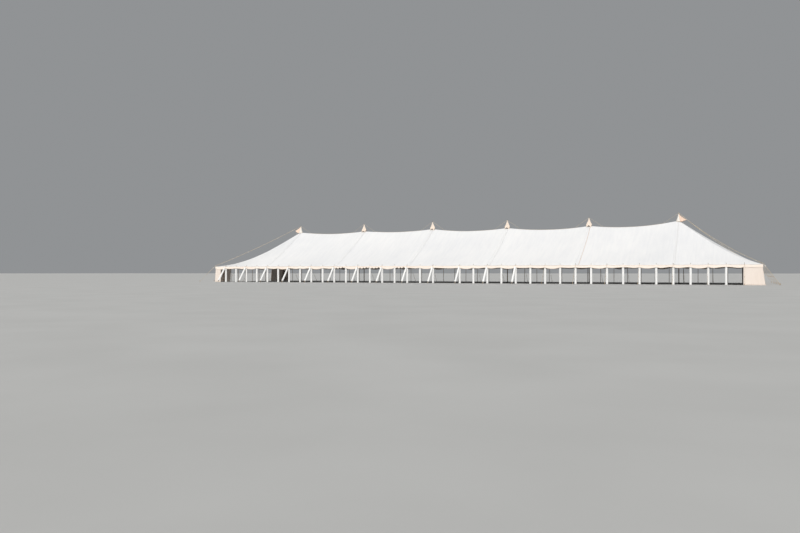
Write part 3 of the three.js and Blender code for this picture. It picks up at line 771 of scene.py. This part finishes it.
def king_pole(index):
    """A base plate and socket, the pole with its joint bands, and the crown and spike of one king pole."""
    king, peak, tip = KINGS[index], PEAKS[index], SPIKES[index]
    piece = Parts(f"king_pole_timber_{index + 1}", POLE_TIMBER, IRON, WHITE_CANVAS)
    here = (king, 0.0, 0.0)
    piece.add(lathe(BASE_PLATE, here, 32), 1)
    piece.add(lathe(SOCKET, here, 24), 1)
    piece.add(lathe([(0.003, 0.0064), (peak * 0.5, 0.0062), (peak + 0.010, 0.0055)], here, 24))
    for joint in JOINT_BANDS:
        height = joint * peak
        piece.add(lathe([(height, 0.0069), (height + 0.004, 0.0069)], here, 24), 1)
    seat = peak - CROWN_DROP
    rim = seat - CROWN_SLOPE
    piece.add(lathe([(rim - 0.003, 0.0185), (rim, 0.019), (seat, 0.006)], here, 24), 2)
    piece.add(lathe([(peak + 0.009, 0.0058), (peak + 0.012, 0.0040), (tip - 0.006, 0.0023),
                     (tip - 0.001, 0.0016), (tip, 0.0006)], here, 16), 1)
    for angle in CORNERS:
        eye = (king + 0.0105 * math.cos(angle), 0.0105 * math.sin(angle), rim - 0.012)
        piece.add(ring(eye, 0.0028, 0.0008, axis=(math.sin(angle), -math.cos(angle), 0)), 1)
    finish(piece, f"king_pole_{index + 1}")


# Side poles


def inset(radius):
    return WALL_FACE + WALL_GAP + radius


def pole_x(index, radius):
    corner = HALF_LENGTH - inset(radius)
    return float(np.clip(index * SPACING - HALF_LENGTH, -corner, corner))


SEAM_LAP = 0.25  # radians, of a sleeve's lapped seam
WALLED_POLES = (0, 39, 40)
TIED_AT = 0.95  # share of a pole's height


def gathered(start, end, radius, seed, pleats=11, rings=26, around=44, depth=0.09):
    """A cloth sleeve gathered round a straight pole or rope. radius is a function of the share along it."""
    local = np.random.default_rng(seed)
    line = np.array([start, end], float)
    (side, _), (lift, _) = frames_along(line)
    angle = np.linspace(0, 2 * math.pi + SEAM_LAP, around)[None]
    share = np.linspace(0, 1, rings)[:, None]
    twist = 1.5 * local.random() * np.sin(2.2 * share + 6 * local.random())
    fold = np.sin(pleats * angle + 3 * twist)
    fold = fold + 0.5 * np.sin((pleats - 4) * angle + 5 * local.random() - twist)
    ruffle = 0.35 * np.sin(2 * math.pi * (9 * share + local.random()) + 2 * np.sin(2 * angle))
    r = np.vectorize(radius)(share) * (1 + depth * fold * (0.5 + share) / 1.2 + 0.06 * ruffle)
    r = r + 0.0004 * (angle > 2 * math.pi - SEAM_LAP)
    skin = mix(*line, share[..., None])
    skin = skin + r[..., None] * (np.cos(angle)[..., None] * side + np.sin(angle)[..., None] * lift)
    return grid(skin[::-1])


def pole_sleeve(radius, flare):
    """A sleeve's radius as a function of the share up the pole: flared at the foot and tied near the top."""

    def at(share):
        tie = 0.0045 * math.exp(-(((share - TIED_AT) / 0.025) ** 2))
        return radius + flare * math.exp(-share / 0.06) - tie

    return at


FULL_SLEEVE = pole_sleeve(SLEEVED_POLE + 0.0016, 0.0010)
TIGHT_SLEEVE = pole_sleeve(SLEEVED_POLE - 0.0014, 0.0)


def pole_top(x, y, radius):
    """A side pole ends just under the canvas above its outer edge."""
    around = np.linspace(0, 2 * math.pi, 9)
    return float(canvas_height(x + radius * np.cos(around), y + radius * np.sin(around)).min()) - 0.0024


def side_pole(parts, x, y):
    """Bare timber with iron at both ends and the pin that goes through the canvas."""
    here = (x, y, 0.0)
    radius = BARE_POLE
    top = pole_top(x, y, radius)
    ferrule = [(0.0, radius * 0.93), (0.0006, radius), (0.008, radius), (0.0085, radius * 0.9)]
    parts.add(lathe(ferrule, here, 14), 1)
    parts.add(lathe([(0.008, radius * 0.9), (top - 0.012, radius * 0.82), (top, radius * 0.78)], here, 14))
    parts.add(lathe([(top - 0.012, radius * 0.86), (top - 0.006, radius * 0.86)], here, 14), 1)
    pin(parts, x, y)


def canvas_normal(x, y):
    """The canvas's upward normal, not quite a unit vector."""
    step = 0.002
    across = float(canvas_height(x + step, y) - canvas_height(x - step, y)) / (2 * step)
    along = float(canvas_height(x, y + step) - canvas_height(x, y - step)) / (2 * step)
    return np.array([-across, -along, 1.0])


def pin(parts, x, y):
    """The pole's pin, which stands out of a rope grommet in the canvas and holds a becket."""
    surface = np.array([x, y, float(canvas_height(x, y))])
    normal = canvas_normal(x, y)
    shank = [(EAVE - 0.002, 0.0013), (PIN_TOP - 0.002, 0.0013), (PIN_TOP, 0.0005)]
    parts.add(lathe(shank, (x, y, 0.0), 8), 1)
    parts.add(ring(surface + 0.0006 * normal, 0.0034, 0.0012, axis=normal, sides=14), 2)
    parts.add(ring(surface + 0.0028 * normal, 0.0026, 0.0011, axis=normal), 2)


def wall_line(places):
    """The rope that carries a wall, through these plan points."""
    return tube([(x, y, EAVE - 0.016) for x, y in places], 0.001, sides=6)


def pole_run(name, side, run):
    """The side poles of one node on their wall line, which goes on to the next node's first pole."""
    radius = SLEEVED_POLE if side < 0 else BARE_POLE
    first, last = run * RUN + (run > 0), (run + 1) * RUN
    poles = [i for i in range(first, last + 1) if not (side < 0 and i == ENTRANCE_POLE)]
    y = side * (HALF_WIDTH - inset(radius))
    piece = Parts(f"{name}_pole_timber_{run + 1}", POLE_TIMBER, IRON, HEMP)
    for i in poles:
        side_pole(piece, pole_x(i, radius), y)
    goes_on = last < SIDE_SPACINGS and last in poles
    line_end = pole_x(last + 1, radius) - radius if goes_on else pole_x(poles[-1], radius)
    line = np.linspace(pole_x(poles[0], radius), line_end, 2 * len(poles))
    piece.add(wall_line([(x, y) for x in line]), 2)
    timber = finish(piece, f"{name}_poles_{run + 1}")
    if radius == SLEEVED_POLE:
        pole_sleeves(name, run, poles, y)


def pole_sleeves(name, run, poles, y):
    """A run's white sleeves and the cords that tie them near the top."""
    cloth = Parts(f"{name}_pole_sleeves_{run + 1}", SLEEVE_CLOTH)
    ties = Parts(f"{name}_sleeve_ties_{run + 1}", COTTON)
    top = pole_top(0.0, y, BARE_POLE)
    for i in poles:
        x = pole_x(i, SLEEVED_POLE)
        shape = TIGHT_SLEEVE if i in WALLED_POLES else FULL_SLEEVE
        cloth.add(gathered((x, y, 0.0015), (x, y, pole_top(x, y, SLEEVED_POLE)), shape, i))
        ties.add(ring((x, y, TIED_AT * top), 0.0072, 0.0010, sides=18))
    sleeves = finish(cloth)
    finish(ties)


def end_run(name, side):
    x = side * (HALF_LENGTH - inset(BARE_POLE))
    piece = Parts(f"{name}_end_pole_timber", POLE_TIMBER, IRON, HEMP)
    for i in range(1, END_SPACINGS):
        side_pole(piece, x, i * SPACING - HALF_WIDTH)
    reach = HALF_WIDTH - 0.022
    piece.add(wall_line([(x, y) for y in np.linspace(-reach, reach, 21)]), 2)
    finish(piece, f"{name}_end_poles")


# Guys, pegs and ropes

GUY_SLEEVE = 0.0124
SLEEVE_START, SLEEVE_END = 0.06, 0.95  # shares of the guy's length
RUNNER_AT, LINE_BENDS = 0.62, 0.8  # the same for a bare guy's runner and its second line
PEG_PROFILE = [(0.0, 0.0019), (0.012, 0.0024), (PEG_HEIGHT - 0.004, 0.0025), (PEG_HEIGHT - 0.002, 0.0031),
               (PEG_HEIGHT, 0.0029)]


def peg_axis(out):
    """The way up a peg that leans outwards, for one unit of height."""
    return PEG_LEAN * out + (0, 0, 1)


def peg(parts, foot, out):
    """A timber stake with a mushroomed head, leaning away from the tent."""
    parts.add(lathe(PEG_PROFILE, foot, 10, peg_axis(out)), 1)


def two_turns(parts, place, step, radius, rope, axis=(0, 0, 1)):
    """Two turns of rope round a peg or spike, a step apart in height."""
    for turn in range(2):
        parts.add(ring(place + np.array([0, 0, step * turn]), radius, rope, axis=axis))


def guy(parts, sleeves, x, y, out, sleeved, seed):
    """A rope from the pin over the eave to two turns round its peg, bare with a runner or in a sleeve."""
    out = np.array([out[0], out[1], 0.0])
    eave = np.array([x, y, EAVE + 0.0016])
    low = np.array([x, y, EAVE_ROPE_HEIGHT])
    foot = np.array([x, y, 0.0]) + GUY_REACH * out
    tie = foot + PEG_TIE * peg_axis(out)
    pin_place = eave - (inset(BARE_POLE) + EAVE_ROPE_OUT) * out
    parts.add(tube([pin_place + (0, 0, 0.004), eave - 0.003 * out, eave + 0.0012 * out, low + 0.0016 * out,
                    mix(low, tie, 0.06), tie], ROPE, sides=7))
    two_turns(parts, tie, -0.002, 0.0034, 0.0011, peg_axis(out))
    peg(parts, foot, out)
    if sleeved:
        sleeves.add(gathered(mix(low, tie, SLEEVE_START), mix(low, tie, SLEEVE_END), guy_sleeve_radius,
                             300 + seed, pleats=7, rings=22, around=30, depth=0.07))
        return
    runner = mix(low, tie, RUNNER_AT)
    along = unit(tie - low)
    parts.add(tube([runner - 0.007 * along, runner + 0.007 * along], 0.0027, sides=8), 1)
    beside = np.array([-out[1], out[0], 0.0]) * 0.0023
    line = [runner + beside, mix(low, tie, LINE_BENDS) + beside, tie + 0.5 * beside]
    parts.add(tube(line, ROPE * 0.8, sides=6))


def guy_sleeve_radius(share):
    """Drawn in to the rope at the eave and open at the peg."""
    return GUY_SLEEVE - 0.0085 * math.exp(-share / 0.035)


def guys(name, places, ends, axis, side):
    """All the guys of one node and the eave rope that joins them, between two plan points along an axis."""
    parts = Parts(f"{name}_ropes", HEMP, PEG_TIMBER)
    sleeves = Parts(f"{name}_sleeves", SLEEVE_CLOTH)
    for seed, (x, y, out, sleeved) in enumerate(places):
        guy(parts, sleeves, x, y, out, sleeved, seed)
    made = finish(parts, name)
    line = np.linspace(*[(*end, EAVE_ROPE_HEIGHT) for end in ends], 161)
    line[:, 2] += eave_dip(line[:, axis], side)
    hem = Parts(f"{name}_eave_rope", COTTON)
    hem.add(tube(line, HEM_ROPE, sides=7))
    finish(hem)
    sleeved_guys = sum(sleeved for _, _, _, sleeved in places)
    if sleeved_guys:
        cloth = finish(sleeves)


def guys_along_side(name, side, half, low, high):
    y = side * (HALF_WIDTH + EAVE_ROPE_OUT)
    poles = [(i, i * SPACING - HALF_LENGTH) for i in range(1, SIDE_SPACINGS, 2)]
    places = [(x, y, (0.0, side), side < 0 and i <= LAST_SLEEVED_GUY) for i, x in poles if low < x < high]
    guys(f"{name}_guys_{half}", places, [(low, y), (high, y)], 0, side)


def guys_across_end(name, side):
    x = side * (HALF_LENGTH + EAVE_ROPE_OUT)
    places = [(x, i * SPACING - HALF_WIDTH, (side, 0.0), False) for i in range(1, END_SPACINGS, 2)]
    guys(f"{name}_end_guys", places, [(x, -HALF_WIDTH), (x, HALF_WIDTH)], 1, 1)


RIDGE_LOOP = 0.002  # the lowest loop's foot above the bonnet's neck
LOOP_HEIGHT = 0.004
STAY_RUN = SPACING  # from a king pole to where the ridge rope lies on the canvas
HIP_ROPE = 0.0013
LASHINGS = (4, 11, 18, 25, 32, 37)  # the points of a hip rope that have one
BLOCK = 0.008  # half the length of the block near a corner
BLOCK_AT = 0.12  # share of the way from the corner to the peg
BLOCK_PROFILE = [(-1.0, 0.15), (-0.8, 0.5), (-0.3, 0.75), (0.3, 0.75), (0.8, 0.5), (1.0, 0.15)]
LEFT_HIP_ROPE_SAG = 0.024
RIGHT_HIP_ROPE_SAG = 0.058


def ridge_rope():
    """The rope from spike to spike, which comes down to lie along the ridge."""
    piece = Parts("ridge_rope_lay", HEMP)
    for i in range(len(KINGS) - 1):
        from_x, to_x = KINGS[i], KINGS[i + 1]
        x = np.linspace(from_x + STAY_RUN, to_x - STAY_RUN, 41)
        lying = on_cloth(x, 0 * x, ROPE + 0.0002)
        up = RIDGE_LOOP + LOOP_HEIGHT / 2
        line = [(from_x + 0.003, 0, NECKS[i] + up), *lying, (to_x - 0.003, 0, NECKS[i + 1] + up)]
        piece.add(tube(line, ROPE, sides=7))
    for king, neck in zip(KINGS, NECKS):
        two_turns(piece, (king, 0, neck + RIDGE_LOOP + 0.001), 0.0021, 0.0038, 0.0011)
    finish(piece, "ridge_rope")


def hip_rope(end, end_side, name, side):
    """A main rope of two lines, lashed together, from an end spike over the hip and a block to its peg."""
    king = 0 if end_side < 0 else -1
    level = 1 if side < 0 else 2
    foot = NECKS[king] + RIDGE_LOOP + level * (LOOP_HEIGHT + SEAM_GAP)
    start = np.array([KINGS[king] + 0.003 * end_side, 0.003 * side, foot + LOOP_HEIGHT / 2])
    corner = np.array([end_side * (HALF_LENGTH + ROPE), side * (HALF_WIDTH + ROPE), EAVE + 0.007])
    share = np.linspace(0, 1, 41)
    hip = mix(start, corner, share[:, None])
    hip[:, 2] -= (LEFT_HIP_ROPE_SAG if end_side < 0 else RIGHT_HIP_ROPE_SAG) * bow(share)
    outward = np.array([end_side, side, 0.0])
    out = outward * math.sqrt(0.5)
    peg_foot = outward * (HALF_LENGTH + CORNER_REACH, HALF_WIDTH + CORNER_REACH, 0.0)
    tie = peg_foot + PEG_TIE * peg_axis(out)
    down = [mix(corner, tie, t) for t in (0.02, 0.05, 0.3, 0.6, 1.0)]
    piece = Parts(f"hip_rope_lay_{name}_{end}", HEMP, PEG_TIMBER, COTTON)
    line = np.array([*hip, *down])
    piece.add(tube(line, HIP_ROPE, sides=7))
    piece.add(tube(line[2:-1] + (0, 0, 2.1 * HIP_ROPE), HIP_ROPE, sides=7))
    for at in LASHINGS:
        along = unit(line[at + 1] - line[at])
        middle = line[at] + (0, 0, 1.05 * HIP_ROPE)
        piece.add(tube([middle - 0.004 * along, middle + 0.004 * along], 2.25 * HIP_ROPE, sides=10), 2)
    along = unit(tie - corner)
    block = [mix(corner, tie, BLOCK_AT) + t * BLOCK * along for t, _ in BLOCK_PROFILE]
    piece.add(tube(block, [BLOCK * r for _, r in BLOCK_PROFILE], sides=12, squash=0.7), 2)
    two_turns(piece, (KINGS[king], 0, foot + 0.001), 0.002, 0.0038, 0.0011)
    two_turns(piece, tie, -0.0022, 0.0036, 0.0012, peg_axis(out))
    peg(piece, peg_foot, out)
    finish(piece, f"hip_rope_{name}_{end}")


# Walls

WALL_HEIGHT = 0.240
WALL_BEND = 0.216  # the height under which a wall flares
WALL_IN = 0.0023  # inside the eave
EDGE_WRAP = 0.012  # of a wall past the pole at its edge
WALL_FOLD_DEPTH = 0.0016


def wall(name, end, top_line, foot_line, seed):
    """A wall cloth hung from the wall line: straight to the valance and flared and folded below."""
    local = np.random.default_rng(seed)
    top_line, foot_line = np.array(top_line), np.array(foot_line)
    count = max(24, int(line_length(top_line) / 0.006))
    measure = np.array([line_length(top_line[:k + 1]) for k in range(len(top_line))])
    along = np.linspace(0, measure[-1], count)
    lines = top_line.T, foot_line.T
    top, foot = (np.stack([np.interp(along, measure, row) for row in line], axis=1) for line in lines)
    tangent = np.gradient(top, axis=0)
    outward = np.stack([tangent[:, 1], -tangent[:, 0]], axis=1)
    outward /= np.linalg.norm(outward, axis=1, keepdims=True)
    height = np.linspace(WALL_HEIGHT, 0, 17)
    flare = np.clip((WALL_BEND - height) / WALL_BEND, 0, 1)
    folds = np.sin(2 * math.pi * along / 0.052 + 3 * local.random()) + 0.6 * np.sin(
        2 * math.pi * along / 0.087 + 6 * local.random())
    push = WALL_FOLD_DEPTH * flare[:, None] * folds[None] - 0.0004
    plan = top[None] + flare[:, None, None] * (foot - top)[None] + push[..., None] * outward[None]
    points = np.dstack([plan, np.tile(height[:, None], (1, count))])
    piece = Parts(f"wall_{name}_{end}_cloth", WALL_CLOTH)
    piece.add(grid(points))
    made = finish(piece, f"wall_{name}_{end}")
    thicken(made)
    trim = Parts(f"wall_{name}_{end}_cloth_trim", TAPE)
    trim.add(tube(points[-1] + (0, 0, 0.0012), 0.0011, sides=6))
    trim.add(tube(points[0] - (0, 0, 0.0012), 0.0009, sides=6))
    finish(trim)


def make_walls():
    """Walls round all four corners and across the right end, which run so that they face outwards."""
    y, x = HALF_WIDTH - WALL_IN, HALF_LENGTH - WALL_IN
    edge = HALF_LENGTH - SPACING - EDGE_WRAP
    for name, side in SIDES:
        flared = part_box(f"wall_{name}_right")[1].x - 0.001
        top = [(edge, side * y), (x - 0.002, side * y)]
        foot = [(edge, side * y), (flared, side * y)]
        wall(name, "right", top[::-side], foot[::-side], 5 + side)
        low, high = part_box(f"wall_{name}_left")
        flared = low.x + 0.001
        inner = low.y if side > 0 else high.y
        top = [(-x, inner), (-x, side * y), (high.x, side * y)]
        foot = [(flared, inner), (flared, side * y), (high.x, side * y)]
        wall(name, "left", top[::-side], foot[::-side], 15 + side)
    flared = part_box("wall_end_right")[1].x - 0.001
    wall("end", "right", [(x, -y), (x, y)], [(flared, -y), (flared, y)], 25)


# Stage

FLOOR = 150.0  # half the side of the floor
FLOOR_UNDER = 0.0002  # the feet


def make_stage():
    ground = Surface("studio floor", 0.85)
    speckle = ground.noise(ground.place(), 3.0, 5.0)
    ground.colour(speckle, 0.35, 0.65, ((0.50, 0.50, 0.49), (0.53, 0.53, 0.52)))
    floor = Parts("studio_floor", ground.material)
    x, y = np.meshgrid([-FLOOR, FLOOR], [FLOOR, -FLOOR])
    floor.add(grid(np.stack([x, y, 0 * x - FLOOR_UNDER], axis=2)))
    made = floor.build()
    made.parent = None


def make_light():
    world = bpy.data.worlds.new("studio")
    world.use_nodes = True
    background = world.node_tree.nodes["Background"]
    background.inputs["Color"].default_value = (0.94, 0.97, 1.0, 1)
    background.inputs["Strength"].default_value = 0.30
    bpy.context.scene.world = world
    for name, turn, strength, size in (
        ("key", (60, 0, 22), 2.2, 25),
        ("left fill", (68, 0, -55), 0.7, 60),
        ("top fill", (15, 0, 0), 0.5, 90),
    ):
        lamp = bpy.data.lights.new(name, "SUN")
        lamp.energy = strength
        lamp.angle = math.radians(size)
        lamp.color = (1.0, 0.985, 0.96)
        lamp_piece = bpy.data.objects.new(name, lamp)
        lamp_piece.rotation_euler = [math.radians(degrees) for degrees in turn]
        bpy.context.collection.objects.link(lamp_piece)
    bpy.context.scene.view_settings.view_transform = "Standard"


def make_object():
    for name, side in ENDS:
        roof_end(name, side)
    for name, side in ENDS:
        valance_end(name, side)
    for index in range(len(KINGS) - 1):
        roof_section(index)
        for name, side in SIDES:
            valance_section(name, side, index)
    for index in range(len(KINGS)):
        king_pole(index)
        bonnet(index)
        lacing(index)
    for run in range(SIDE_SPACINGS // RUN):
        for name, side in SIDES:
            pole_run(name, side, run)
    for name, side in ENDS:
        end_run(name, side)
    for name, side in SIDES:
        guys_along_side(name, side, "left", -HALF_LENGTH, -SEAM_GAP / 2)
        guys_along_side(name, side, "right", SEAM_GAP / 2, HALF_LENGTH)
    for name, side in ENDS:
        guys_across_end(name, side)
    ridge_rope()
    for end, end_side in ENDS:
        for name, side in SIDES:
            hip_rope(end, end_side, name, side)
    make_walls()


make_camera()
make_object()
make_stage()
make_light()
